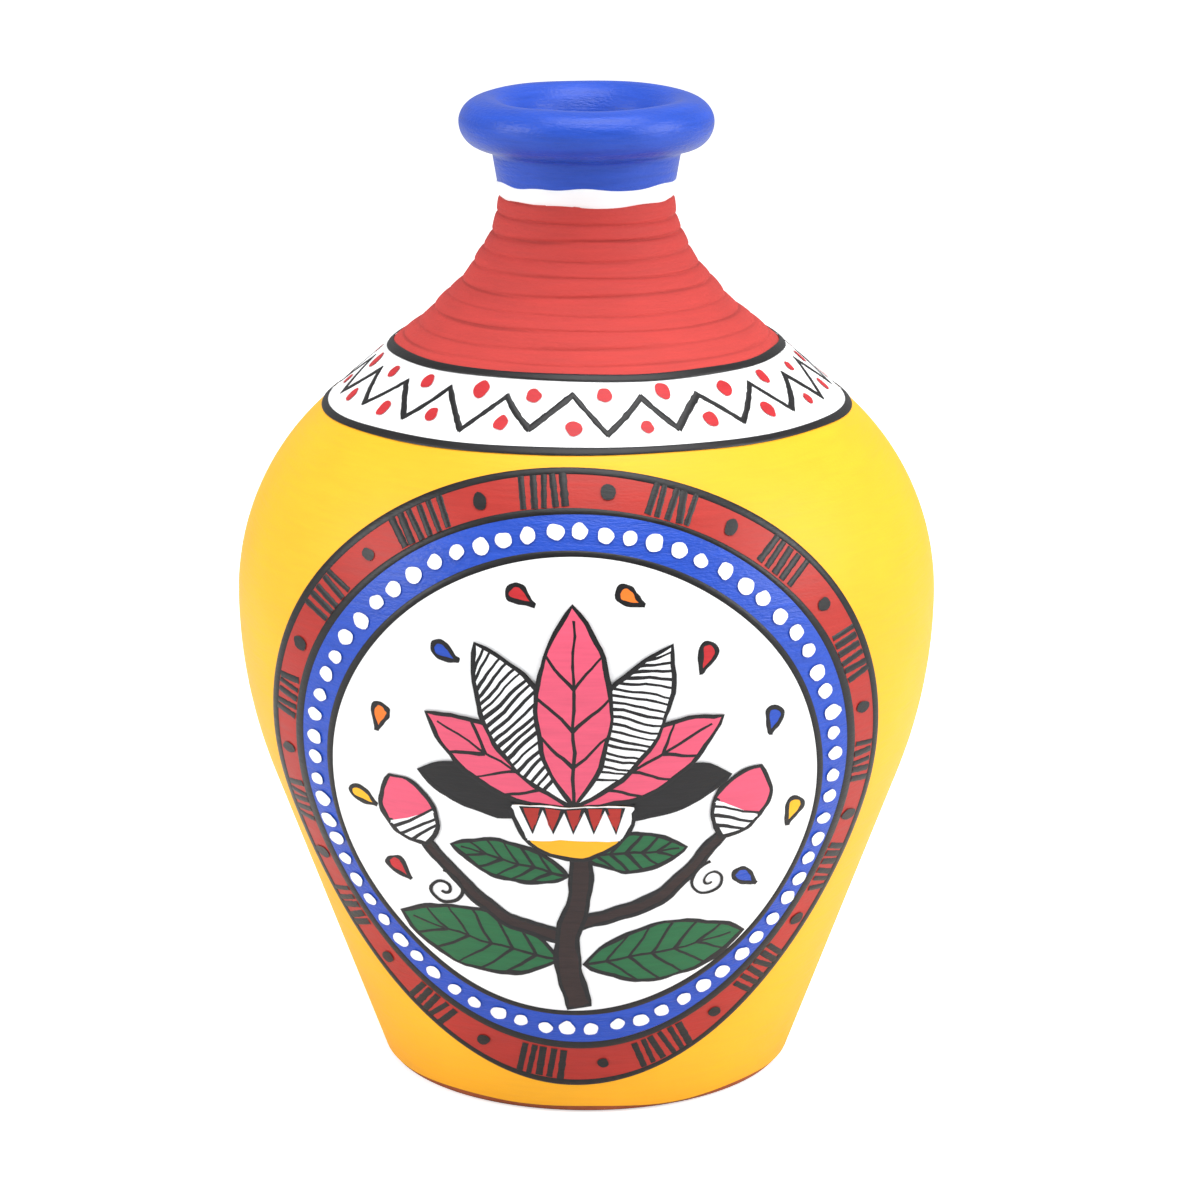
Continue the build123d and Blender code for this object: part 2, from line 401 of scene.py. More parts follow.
def finish_piece(name, bm, key, replaced=()):
    """Turn a bmesh into a piece that rides on the jar, in the paint of a key."""
    bmesh.ops.recalc_face_normals(bm, faces=bm.faces)
    mesh = mesh_from(name, bm)
    for polygon in mesh.polygons:
        polygon.use_smooth = True
    piece = add_object(name, mesh)
    mesh.materials.append(material(key))
    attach(piece, "root")
    if replaced:
        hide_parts(*replaced)


def wrap_all(bm, wrap):
    """Lay every point of a flat drawing on the wall."""
    for vert in bm.verts:
        vert.co = wrap(vert.co)


def rail(bm, points, closed):
    """Chain of edges through some points."""
    verts = [bm.verts.new(point) for point in points]
    edges = [bm.edges.new(pair) for pair in zip(verts, verts[1:])]
    if closed:
        edges.append(bm.edges.new((verts[-1], verts[0])))
    return edges


def heading(path, i, closed=False):
    """Direction of a path at one of its points."""
    before = path[i - 1] if i or closed else path[0]
    after = path[(i + 1) % len(path)] if closed or i < len(path) - 1 else path[-1]
    return (after - before).normalized()


def crosswise(along):
    """Flat direction square to another one, on its left."""
    return flat(-along.y, along.x)


# Section of a brush stroke, as shares of its half width and of its film
STROKE_SHARES = ((-1.0, 0.0), (-0.72, 0.85), (0.0, 1.0), (0.72, 0.85), (1.0, 0.0))


def add_stroke(bm, path, half_width, base, film, closed=False):
    """Domed brush stroke along a flat path. half_width is a function of the share along it."""
    columns, rows = len(path) - (not closed), len(STROKE_SHARES) - 1
    grid = bmesh.ops.create_grid(bm, x_segments=columns, y_segments=rows, size=0.5)
    for vert in grid["verts"]:
        i = round((vert.co.x + 0.5) * columns)
        side, rise = STROKE_SHARES[round((vert.co.y + 0.5) * rows)]
        if closed:
            i %= columns
        across = crosswise(heading(path, i, closed)) * side * half_width(i / columns)
        vert.co = path[i] + across + Vector((0, 0, base + rise * film))
    bmesh.ops.remove_doubles(bm, verts=grid["verts"], dist=STROKE_WELD)


def add_blob(bm, centre, radii, turn, base, film, steps=20):
    """Domed dot of paint. Its uneven outline is seeded by its place."""
    waver = Waver(int(1e6 * (centre.x + 2 * centre.y)) & 0xFFFF, 0.09, 4)
    ring = bmesh.ops.create_circle(bm, cap_ends=True, segments=steps, radius=1.0)
    for i, vert in enumerate(ring["verts"]):
        vert.co *= 1 + waver.at(i / steps)
    faces = list({face for vert in ring["verts"] for face in vert.link_faces})
    top = bmesh.ops.inset_region(bm, faces=faces, thickness=0.22, depth=0.0)
    inner = [vert for face in faces for vert in face.verts]
    for vert in inner:
        vert.co.z = 1.0
    poked = bmesh.ops.poke(bm, faces=faces)
    for vert in poked["verts"]:
        vert.co.z = 1.15
    verts = set(ring["verts"]) | set(inner) | set(poked["verts"])
    verts |= {vert for face in top["faces"] for vert in face.verts}
    place = Matrix.Translation(centre + Vector((0, 0, base))) @ Matrix.Rotation(turn, 4, "Z")
    size = Matrix.Diagonal((radii[0], radii[1], film, 1))
    bmesh.ops.transform(bm, matrix=place @ size, verts=list(verts))


def add_patch(bm, outline, base, film, cell, holes=()):
    """Filled shape of even thickness, with a sharp edge, cut into cells to follow the wall."""
    part = bmesh.new()
    edges = rail(part, outline, True)
    for hole in holes:
        edges += rail(part, hole, True)
    bmesh.ops.triangle_fill(part, use_beauty=True, edges=edges)
    for axis in (0, 1):
        low = min(vert.co[axis] for vert in part.verts)
        high = max(vert.co[axis] for vert in part.verts)
        normal = flat(1 - axis, axis)
        for i in range(1, int((high - low) / cell) + 1):
            geometry = part.verts[:] + part.edges[:] + part.faces[:]
            bmesh.ops.bisect_plane(part, geom=geometry, plane_co=normal * (low + i * cell), plane_no=normal)
    for vert in part.verts:
        vert.co.z = base + film
    rim = [edge for edge in part.edges if edge.is_boundary]
    skirt = bmesh.ops.extrude_edge_only(part, edges=rim)
    for vert in (item for item in skirt["geom"] if isinstance(item, bmesh.types.BMVert)):
        vert.co.z = base
    for edge in rim:
        edge.smooth = False
    part.verts.index_update()
    mesh = mesh_from("patch", part)
    bm.from_mesh(mesh)
    bpy.data.meshes.remove(mesh)


# Clay and base coats


def arc(centre, radii, start, end, steps):
    """Points of a round stretch from one angle to another."""
    angles = [start + (end - start) * i / steps for i in range(steps + 1)]
    return [(centre[0] + radii[0] * math.cos(a), centre[1] + radii[1] * math.sin(a)) for a in angles]


def sheet_round(shape, low, high, lift, steps=None, cell=0.0012):
    """Flat sheet that goes once round the jar, from one height to another, ready to wrap."""
    rows = max(1, int((high - low) / cell))
    bm = bmesh.new()
    bmesh.ops.create_grid(bm, x_segments=steps or shape.turn_steps, y_segments=rows, size=0.5)
    for vert in bm.verts:
        level = low + (vert.co.y + 0.5) * (high - low)
        vert.co = Vector((TURN * (vert.co.x + 0.5), level, lift))
    return bm


def close_round(bm, shape):
    """Wrap a sheet round the jar and join its two ends."""
    wrap_all(bm, on_turn(shape))
    bmesh.ops.remove_doubles(bm, verts=bm.verts, dist=SHEET_WELD)


def spin_profile(points, steps):
    """Full turn of a profile of (radius, height) points."""
    bm = bmesh.new()
    edges = rail(bm, [(radius, 0, level) for radius, level in points], False)
    profile = bm.verts[:] + edges
    bmesh.ops.spin(
        bm, geom=profile, cent=(0, 0, 0), axis=(0, 0, 1), angle=TURN, steps=steps, use_merge=True
    )
    bmesh.ops.remove_doubles(bm, verts=bm.verts, dist=SPIN_WELD)
    return bm


def rim_profile(shape, lift, steps=40):
    """Soft corner above the collar, rolled rim and funnel of the mouth, as (radius, height) points."""
    roll_r, roll_z = shape.rim_radius - shape.rim_roll, shape.height - shape.rim_roll
    corner_z = roll_z - shape.rim_roll - shape.rim_corner
    corner_r = wall_radius(shape, corner_z) + shape.rim_corner
    corner, roll = shape.rim_corner - lift, shape.rim_roll + lift
    funnel = (roll_r - shape.throat_radius + lift, shape.funnel_depth + lift)
    points = arc((corner_r, corner_z), (corner, corner), math.pi, QUARTER, 8)
    points += arc((roll_r, roll_z), (roll, roll), -QUARTER, QUARTER, steps)
    return points + arc((roll_r, shape.height - shape.funnel_depth), funnel, QUARTER, math.pi, steps)[1:]


def dip_rim(shape, verts):
    """Lower the front of the crest a little, as on a rim rolled by hand."""
    for vert in verts:
        radius = math.hypot(vert.co.x, vert.co.y)
        inside = radius < shape.rim_radius - shape.rim_roll
        low = shape.height - (shape.funnel_depth if inside else shape.rim_roll)
        if vert.co.z > low and radius > 0:
            share = min(1.0, (vert.co.z - low) / (shape.height - low))
            vert.co.z -= shape.rim_dip * share * (0.5 - 0.5 * vert.co.y / radius)


# Where the hollow's wall starts above the floor and ends below the shoulder, and how thick it is when
# it is measured level. Then points of the floor: share of the wall's lowest radius, and height.
HOLLOW_START = 0.006
HOLLOW_END = 0.002
LEVEL_WALL_SHARE = 1.12
FLOOR_STEPS = ((0.9, 0.002), (0.6, 0.0), (0.0, 0.0))
MARK_DEPTH = 0.0003
MARK_PITCH = 1500


class JAR_OT_clay(bpy.types.Operator):
    """Thrown clay body with its foot, hollow and throat"""

    bl_idname = "jar.clay"
    bl_label = "Clay body"

    def execute(self, context):
        shape = context.scene.jar_shape
        corner = (shape.foot_radius, shape.foot_edge)
        foot = [(shape.foot_radius * share, 0.0) for share in (0.0, 0.5, 0.97)]
        foot += arc(corner, (shape.foot_edge, shape.foot_edge), -QUARTER, -shape.foot_lean, 8)
        start = foot[-1][1]
        top = shape.height - 2 * shape.rim_roll - shape.rim_corner
        rows = 150
        levels = [start + (top - start) * i / rows for i in range(1, rows + 1)]
        outside = []
        for level in levels[:-1]:
            below_grooves = shape.ridge_height * (shape.shoulder_height < level < shape.neck_height)
            outside.append((wall_radius(shape, level) - below_grooves, level))
        throat = (shape.throat_radius, shape.shoulder_height + shape.throat_rise)
        inside = self.inside(shape, levels)
        bm = spin_profile(foot + outside + rim_profile(shape, 0.0) + [throat] + inside, shape.turn_steps)
        self.turning_marks(shape, bm)
        dip_rim(shape, bm.verts)
        finish_piece("clay_body", bm, "clay", ("clay_vessel",))
        return {"FINISHED"}

    def inside(self, shape, levels):
        """Profile of the hollow, from below the shoulder down to the middle of the floor."""
        low, high = shape.floor + HOLLOW_START, shape.shoulder_height - HOLLOW_END
        level_wall = LEVEL_WALL_SHARE * shape.wall
        points = [(wall_radius(shape, z) - level_wall, z) for z in reversed(levels) if low < z < high]
        last = points[-1][0]
        return points + [(last * share, shape.floor + rise) for share, rise in FLOOR_STEPS]

    def turning_marks(self, shape, bm):
        """Low waves that the thrower's fingers left inside."""
        marks = Waver(11, 0.00012, 5)
        for vert in bm.verts:
            radius, level = math.hypot(vert.co.x, vert.co.y), vert.co.z
            if not shape.floor < level < shape.shoulder_height:
                continue
            if 0.001 < radius < wall_radius(shape, level) - 0.002:
                wave = MARK_DEPTH * math.sin(level * MARK_PITCH) + marks.at(level * 9)
                vert.co.x *= 1 + wave / radius
                vert.co.y *= 1 + wave / radius


# How far the neck's grooves drift up and down, and how uneven the paint on them is
GROOVE_DRIFT = 0.0003
NECK_UNEVEN = 0.00012
EDGE_TOLERANCE = 0.0001


class JAR_OT_coats(bpy.types.Operator):
    """Brushed base coats: yellow belly, white band, red neck, blue rim, white line"""

    bl_idname = "jar.coats"
    bl_label = "Base coats"

    def execute(self, context):
        shape, paint = context.scene.jar_shape, context.scene.jar_paint
        self.belly(shape, paint)
        self.band(shape, paint)
        self.neck(shape, paint)
        self.rim(shape, paint)
        self.white_line(shape, paint)
        return {"FINISHED"}

    def belly(self, shape, paint):
        """Yellow coat of the belly, with a ragged lower edge."""
        low, high = paint.belly_start, shape.shoulder_height - shape.band_height + paint.coat_overlap
        bm = sheet_round(shape, low, high, shape.coat, cell=0.0018)
        ragged = Waver(21, 0.00035)
        for vert in bm.verts:
            if vert.co.y < low + EDGE_TOLERANCE:
                vert.co.y += ragged.at(vert.co.x / TURN)
        close_round(bm, shape)
        finish_piece("belly_coat", bm, "yellow", ("belly_yellow_coat",))

    def band(self, shape, paint):
        """White coat of the shoulder band."""
        low, high = shape.shoulder_height - shape.band_height, shape.shoulder_height + paint.coat_overlap
        bm = sheet_round(shape, low, high, shape.coat * 1.1)
        close_round(bm, shape)
        finish_piece("band_coat", bm, "white", ("shoulder_white_coat",))

    def neck(self, shape, paint):
        """Red coat of the neck over uneven throwing grooves, and how much painted shade each point gets in
        them.
        """
        low, high = shape.shoulder_height, paint.white_line_low + paint.line_overlap
        bm = sheet_round(shape, low, high, shape.coat, cell=0.00015)
        shadow = bm.verts.layers.float.new("groove")
        drift, depth = Waver(31, 0.00016, 4), Waver(32, 0.3, 5)
        wrap = on_turn(shape)
        for vert in bm.verts:
            share, up = vert.co.x / TURN, (vert.co.y - low) / (high - low)
            sway = 3.6 * up + 0.3 * math.sin(TURN * share)
            shift = drift.at(share) + GROOVE_DRIFT * math.sin(TURN * sway)
            level = min(max(vert.co.y + shift * min(1.0, 6 * up, 6 * (1 - up)), low), high)
            ground = Vector((vert.co.x, level, vert.co.z + NECK_UNEVEN * depth.at(share + level * 20)))
            risen = max(0.0, (level - low) / (shape.neck_height - low))
            # Painted shade in the grooves, deeper where they cut deeper and uneven along them.
            vert[shadow] = groove(shape, risen) * (0.8 + 1.5 * depth.at(share + 5.3 * risen))
            moved = wrap(ground)
            moved.z += vert.co.y - level
            vert.co = moved
        bmesh.ops.remove_doubles(bm, verts=bm.verts, dist=SHEET_WELD)
        finish_piece("neck_coat", bm, "red", ("neck_red_coat",))

    def rim(self, shape, paint):
        """Blue coat of the collar, the rolled rim and the top of the throat."""
        low = paint.white_line_low + paint.line_overlap
        profile = rim_profile(shape, shape.coat)
        top = profile[0][1]
        rows = 12
        levels = [low + (top - low) * i / rows for i in range(rows)]
        collar = [(wall_radius(shape, level) + shape.coat, level) for level in levels]
        bm = spin_profile(collar + profile, shape.turn_steps)
        uneven = Waver(41, 0.00012, 5)
        for vert in bm.verts:
            if vert.co.z > top:
                vert.co.z += uneven.at(math.atan2(vert.co.x, -vert.co.y) / TURN)
        dip_rim(shape, bm.verts)
        finish_piece("rim_coat", bm, "blue", ("rim_blue_coat",))

    def white_line(self, shape, paint):
        """Thick white brush line below the blue collar."""
        low, width = paint.white_line_low, paint.white_line_width
        bm = sheet_round(shape, low, low + width, shape.coat, steps=360, cell=width / 8)
        lower, upper = Waver(51, 0.00021, 11), Waver(52, 0.00027, 11)
        for vert in bm.verts:
            share, up = vert.co.x / TURN, (vert.co.y - low) / width
            vert.co.y += (1 - up) * lower.at(share) + up * upper.at(share)
            vert.co.z += 2.2 * paint.film * math.sqrt(max(0.0, 1 - (2 * up - 1) ** 4))
        close_round(bm, shape)
        finish_piece("neck_line", bm, "white", ("neck_white_line",))


# Rows of dots: name, first corner of the zigzag that it follows, and height
DOT_ROWS = (("dots_above", 0, 0.1473), ("dots_below", 1, 0.1423))
DOT_RADII = (0.0012, 0.0017)
FIRST_CORNER_DEG = 4.6
ZIGZAG_SHARE = 0.56


class JAR_OT_band(bpy.types.Operator):
    """Black lines, zigzag and red dots of the white band"""

    bl_idname = "jar.band"
    bl_label = "Shoulder band"

    def execute(self, context):
        shape, paint = context.scene.jar_shape, context.scene.jar_paint
        low, high = shape.shoulder_height - shape.band_height, shape.shoulder_height
        self.line("upper_line", 61, high, "upper_band_line", shape, paint)
        self.line("lower_line", 62, low, "lower_band_line", shape, paint)
        corners = self.corners(paint)
        self.zigzag(corners, shape, paint)
        self.dots(corners, shape, paint)
        return {"FINISHED"}

    def line(self, name, seed, level, node, shape, paint):
        """Black line once round the jar."""
        width = paint.line_width
        bm = sheet_round(shape, level - width / 2, level + width / 2, shape.coat, steps=360, cell=width / 6)
        wander, swell = Waver(seed, 0.00014), Waver(seed + 10, 0.1)
        for vert in bm.verts:
            share, side = vert.co.x / TURN, (vert.co.y - level) / (width / 2)
            vert.co.y = level + side * width / 2 * (1.12 + swell.at(share)) + wander.at(share)
            vert.co.z += paint.film * (1.2 + 1.2 * math.sqrt(max(0.0, 1 - side**4)))
        close_round(bm, shape)
        finish_piece(name, bm, "black", (node,))

    def corners(self, paint):
        """Corners of the zigzag, (angle, height), low and high in turn."""
        source = random.Random(63)
        corners = []
        for i in range(2 * paint.tooth_count):
            even = math.radians(FIRST_CORNER_DEG) + TURN * i / (2 * paint.tooth_count)
            angle = even + 0.04 * math.sin(even) + math.radians(stray(source, 0.9))
            level = paint.tooth_low if i % 2 == 0 else paint.tooth_high
            corners.append(flat(angle, level + stray(source, 0.0005)))
        return corners

    def zigzag(self, corners, shape, paint):
        """One brush stroke for each side of each tooth, overlapping at the corners."""
        source = random.Random(65)
        reference = wall_radius(shape, (paint.tooth_low + paint.tooth_high) / 2)
        half = ZIGZAG_SHARE * paint.line_width
        overlap = 0.0002
        bm = bmesh.new()
        for first, second in zip(corners, corners[1:] + [corners[0] + flat(TURN, 0)]):
            start = flat(first.x * reference, first.y)
            end = flat(second.x * reference, second.y)
            along = (end - start).normalized()
            bow = crosswise(along) * stray(source, 0.0003)
            path = [start - along * overlap]
            path += [start.lerp(end, i / 12) + bow * math.sin(math.pi * i / 12) for i in range(1, 12)]
            path += [end + along * overlap]
            swell = source.uniform(0.8, 1.2)
            edge = Waver(source.randint(0, 9999), 0.12, 5)
            add_stroke(bm, path, wavering(half, edge, swell), shape.coat, 1.2 * paint.film)
        for vert in bm.verts:
            vert.co.x /= reference
        wrap_all(bm, on_turn(shape))
        finish_piece("zigzag", bm, "black", ("band_zigzag",))

    def dots(self, corners, shape, paint):
        """Red dots in the teeth, a row above the zigzag and one below it."""
        source = random.Random(64)
        for name, offset, level in DOT_ROWS:
            bm = bmesh.new()
            radius = wall_radius(shape, level)
            for corner in corners[offset::2]:
                angle = corner.x + math.radians(stray(source, 0.8))
                centre = flat(angle, level + stray(source, 0.0004))
                size = source.uniform(*DOT_RADII)
                radii = (size / radius, size * source.uniform(0.7, 0.85))
                add_blob(bm, centre, radii, 0.0, shape.coat, 1.6 * paint.film)
            wrap_all(bm, on_turn(shape))
            finish_piece(name, bm, "dot_red")


# The round picture

# Outer and inner edge of each black ring line. The shares are its half width, of the belly's radius,
# its half height and the rise of its middle, of the picture's half height, and how much its top widens.
RING_SHARES = {
    "outer_line": ((0.827, 1.0, 0.0, 0.163), (0.81, 0.978, 0.005, 0.145)),
    "middle_line": ((0.765, 0.88, 0.02, 0.102), (0.7415, 0.8536, 0.028, 0.098)),
    "inner_line": ((0.675, 0.7605, 0.028, 0.043), (0.66, 0.739, 0.03, 0.038)),
}

# Fields of colour: name, the lines outside and inside it, paint and CAD node
RING_FIELDS = (
    ("white_disc", "inner_line", None, "white", "picture_white_ground"),
    ("blue_field", "middle_line", "inner_line", "blue", "blue_ring"),
    ("red_field", "outer_line", "middle_line", "ring_red", "red_ring"),
)

# How far a field reaches under the lines beside it
FIELD_OVERLAP_SHARE = 0.007
PANEL_DOT_RADII = (0.0012, 0.0015)


def picture_frame(shape, paint):
    """Middle and half height of the picture."""
    top = shape.shoulder_height - shape.band_height - paint.picture_top_gap
    return (top + paint.picture_bottom) / 2, (top - paint.picture_bottom) / 2


def widened(shares, by):
    """Ring outline with a greater half width and half height."""
    return (shares[0] + by, shares[1] + by, *shares[2:])


def halfway(first, second):
    """Ring outline in the middle between two others."""
    return tuple(a + 0.5 * (b - a) for a, b in zip(first, second))


def even_places(path, count, phase=0.0):
    """Points at even distances along a closed path, each with its direction."""
    lengths = [0.0]
    for first, second in zip(path, path[1:] + path[:1]):
        lengths.append(lengths[-1] + (second - first).length)
    places = []
    for i in range(count):
        goal = lengths[-1] * (((i + phase) / count) % 1.0)
        index = max(k for k in range(len(path)) if lengths[k] <= goal)
        first, second = path[index], path[(index + 1) % len(path)]
        share = (goal - lengths[index]) / (lengths[index + 1] - lengths[index])
        places.append((first.lerp(second, share), (second - first).normalized()))
    return places


class JAR_OT_rings(bpy.types.Operator):
    """White disc, blue and red rings, their lines, beads, bars and dots"""

    bl_idname = "jar.rings"
    bl_label = "Picture rings"

    def execute(self, context):
        self.shape, self.paint = context.scene.jar_shape, context.scene.jar_paint
        self.base = self.shape.coat + self.paint.film
        for field in RING_FIELDS:
            self.field(*field)
        for seed, (name, edges) in enumerate(RING_SHARES.items()):
            self.line(name, seed, *edges)
        self.beads()
        self.bars()
        return {"FINISHED"}

    def path(self, shares, steps=360, waver=None):
        """Egg-shaped outline of the picture, as flat points."""
        middle, half = picture_frame(self.shape, self.paint)
        path = []
        for i in range(steps):
            angle = TURN * i / steps
            grow = waver.at(i / steps) if waver else 0.0
            across = (shares[0] * self.shape.belly_radius + grow) * math.cos(angle)
            across *= 1 + shares[3] * math.sin(angle)
            up = (shares[1] * half + grow) * math.sin(angle)
            path.append(flat(across - self.paint.picture_offset, middle + shares[2] * half + up))
        return path

    def laid(self, name, bm, key, replaced=()):
        """Lay a flat drawing on the front of the jar and make it a piece."""
        wrap_all(bm, on_front(self.shape))
        finish_piece(name, bm, key, replaced)

    def field(self, name, outside, inside, key, node):
        """Field of colour that reaches a little under the lines beside it."""
        outline = self.path(widened(RING_SHARES[outside][1], FIELD_OVERLAP_SHARE), 240)
        holes = []
        if inside:
            holes = [self.path(widened(RING_SHARES[inside][0], -FIELD_OVERLAP_SHARE), 240)]
        bm = bmesh.new()
        add_patch(bm, outline, self.shape.coat, self.paint.film, self.paint.cell, holes)
        self.laid(name, bm, key, (node,))

    def line(self, name, seed, outer, inner):
        """Black ring drawn in one go, with a wandering width."""
        path = self.path(halfway(outer, inner), 480, Waver(70 + seed, 0.00012))
        swell = Waver(80 + seed, 0.1)
        half = max(0.46 * (outer[0] - inner[0]) * self.shape.belly_radius, 0.55 * self.paint.line_width)
        thin = 0.45 if name == "middle_line" else 0.0

        def half_width(share):
            return half * (1.05 + swell.at(share) - thin * max(0.0, math.sin(TURN * share)) ** 2)

        bm = bmesh.new()
        add_stroke(bm, path, half_width, self.base, self.paint.film, True)
        self.laid(name, bm, "black", (name.replace("_line", "_ring_line"),))

    def beads(self):
        """White beads of the blue ring."""
        source = random.Random(90)
        path = self.path(halfway(RING_SHARES["middle_line"][1], RING_SHARES["inner_line"][0]))
        bm = bmesh.new()
        for point, along in even_places(path, self.paint.bead_count):
            size = self.paint.bead_radius * source.uniform(0.88, 1.12)
            shift = flat(stray(source, 1), stray(source, 1)) * 0.0003
            radii = (size, size * source.uniform(0.85, 1.0))
            turn = math.atan2(along.y, along.x) + stray(source, 0.4)
            add_blob(bm, point + shift, radii, turn, self.base, 2.2 * self.paint.film, 16)
        self.laid("beads", bm, "white")

    def bars(self):
        """Groups of black bars across the red ring, with a dot between the groups."""
        source = random.Random(91)
        edges = (RING_SHARES["outer_line"][1], RING_SHARES["middle_line"][0])
        path = self.path(halfway(*edges))
        edge_paths = [self.path(edge) for edge in edges]
        bm = bmesh.new()
        for point, along in even_places(path, self.paint.panel_count, 0.08):
            count = source.choice((5, 5, 6))
            outer, inner = [min((point - other).length for other in edge) for edge in edge_paths]
            for i in range(count):
                place = point + along * (i - (count - 1) / 2) * self.paint.bar_pitch
                place += along * stray(source, 0.0002)
                lean = along * stray(source, 0.0003)
                start = place - crosswise(along) * outer - lean
                end = place + crosswise(along) * inner + lean
                half = self.paint.line_width * source.uniform(0.5, 0.72)
                edge = Waver(source.randint(0, 9999), 0.1, 4)
                stroke = [start.lerp(end, k / 8) for k in range(9)]
                add_stroke(bm, stroke, wavering(half, edge), self.base, self.paint.film)
        self.laid("bars", bm, "black")
        dots = bmesh.new()
        for point, _ in even_places(path, self.paint.panel_count, 0.58):
            size = source.uniform(*PANEL_DOT_RADII)
            turn = source.uniform(0, 3)
            add_blob(dots, point, (size, size * 0.88), turn, self.base, 1.5 * self.paint.film, 14)
        self.laid("panel_dots", dots, "black")


# The plant on the white disc

# Places are shares of the disc's half width, from its middle, to the right and up. So are lengths.
STEM_SHARES = ((0.02, -1.0), (-0.03, -0.7), (0.03, -0.38), (0.0, -0.08))
STALK_SHARES = (
    ((0.0, -0.66), (-0.32, -0.54), (-0.6, -0.24)),
    ((0.0, -0.58), (0.34, -0.46), (0.6, -0.18)),
)
STEM_WIDTH = 0.0042
STALK_WIDTH = 0.0026

# Root, tip and half width of each leaf
LEAF_SHARES = (
    ((-0.06, -0.76), (-0.72, -0.62), 0.15),
    ((0.04, -0.78), (0.7, -0.68), 0.14),
    ((-0.02, -0.34), (-0.5, -0.22), 0.09),
    ((0.03, -0.24), (0.46, -0.22), 0.09),
)

# Turn in degrees, length, half width and paint of each petal, from the back to the front
PETAL_SHARES = (
    (-80.0, 0.64, 0.11, "black"),
    (80.0, 0.64, 0.11, "black"),
    (-58.0, 0.7, 0.12, "pink"),
    (58.0, 0.7, 0.12, "pink"),
    (-30.0, 0.78, 0.14, "hatched"),
    (30.0, 0.78, 0.14, "hatched"),
    (0.0, 0.84, 0.15, "pink"),
)

# Root of each tendril, and the side to which it curls
TENDRIL_SHARES = (((-0.44, -0.46), -1), ((0.46, -0.4), 1))
TENDRIL_REACH_SHARE = 0.085
BUD_TURNS_DEG = (116.0, 62.0)
BUD_SHARES = (0.34, 0.11)
BUD_CUT_SHARE = 0.42
CUP_SHARE = 0.25
CUP_BAND_SHARE = 0.16
CUP_TEETH = 5
DROP_SHARES = {
    "dot_red": ((-0.22, 0.86), (0.52, 0.62), (-0.73, -0.4)),
    "orange": ((0.22, 0.86), (-0.8, 0.32)),
    "blue": ((-0.52, 0.62), (0.8, 0.32), (0.7, -0.42)),
    "yellow": ((-0.87, -0.08), (0.89, -0.12)),
}
DROP_TURNS_DEG = (40.0, -35.0, 25.0)
DROP_HALVES = (0.0023, 0.0027)
DROP_CURL = 0.0016
HATCH_PITCH = 0.0014
HATCH_SLANT_SHARE = 0.05

# Waves of an unsteady hand, across and up: how often they come along x and y, and their phase
HAND_STRAY = 0.00016
HAND_PITCH = 260
HAND_SIZES = (1.0, 0.6, 0.3)
HAND_WAVES = (
    ((1.3, 2.1, 0), (-2.3, 3.1, 1), (5.3, 6.7, 0)),
    ((-1.9, 1.7, 2), (3.7, 1.1, 0), (7.1, -5.9, 0)),
)

# Half width of an outline, of a brush line's width, and rise from a layer to the next, of a film
OUTLINE_SHARE = 0.42
LAYER_SHARE = 0.42


def curve_through(points, steps=14):
    """Smooth flat path through some points."""
    ends = [points[0] * 2 - points[1], *points, points[-1] * 2 - points[-2]]
    path = []
    for a, b, c, d in zip(ends, ends[1:], ends[2:], ends[3:]):
        for i in range(steps):
            t = i / steps
            place = 2 * b + (c - a) * t
            place += (2 * a - 5 * b + 4 * c - d) * t**2
            place += (3 * b - a - 3 * c + d) * t**3
            path.append(0.5 * place)
    path.append(points[-1])
    return path


def petal_side(length, half_width, share):
    """Half width of a petal part of the way along it."""
    bend = (length**2 / 4 + half_width**2) / (2 * half_width)
    along = (share - 0.5) * length
    return math.sqrt(max(0.0, bend**2 - along**2)) - (bend - half_width)


def petal_point(length, half_width, side, share):
    """Point on the left, -1, or right, 1, edge of a petal that grows up along Y."""
    return flat(side * petal_side(length, half_width, share), length * share)


def petal_outline(length, half_width, steps=24):
    """Pointed petal from the origin up along Y, as a closed outline."""
    right = [petal_point(length, half_width, 1, i / steps) for i in range(steps + 1)]
    left = [flat(-point.x, point.y) for point in right[-2:0:-1]]
    return right + left


def placed(points, origin, turn):
    """Flat points, turned and moved."""
    matrix = Matrix.Translation(origin) @ Matrix.Rotation(turn, 4, "Z")
    return [matrix @ point for point in points]


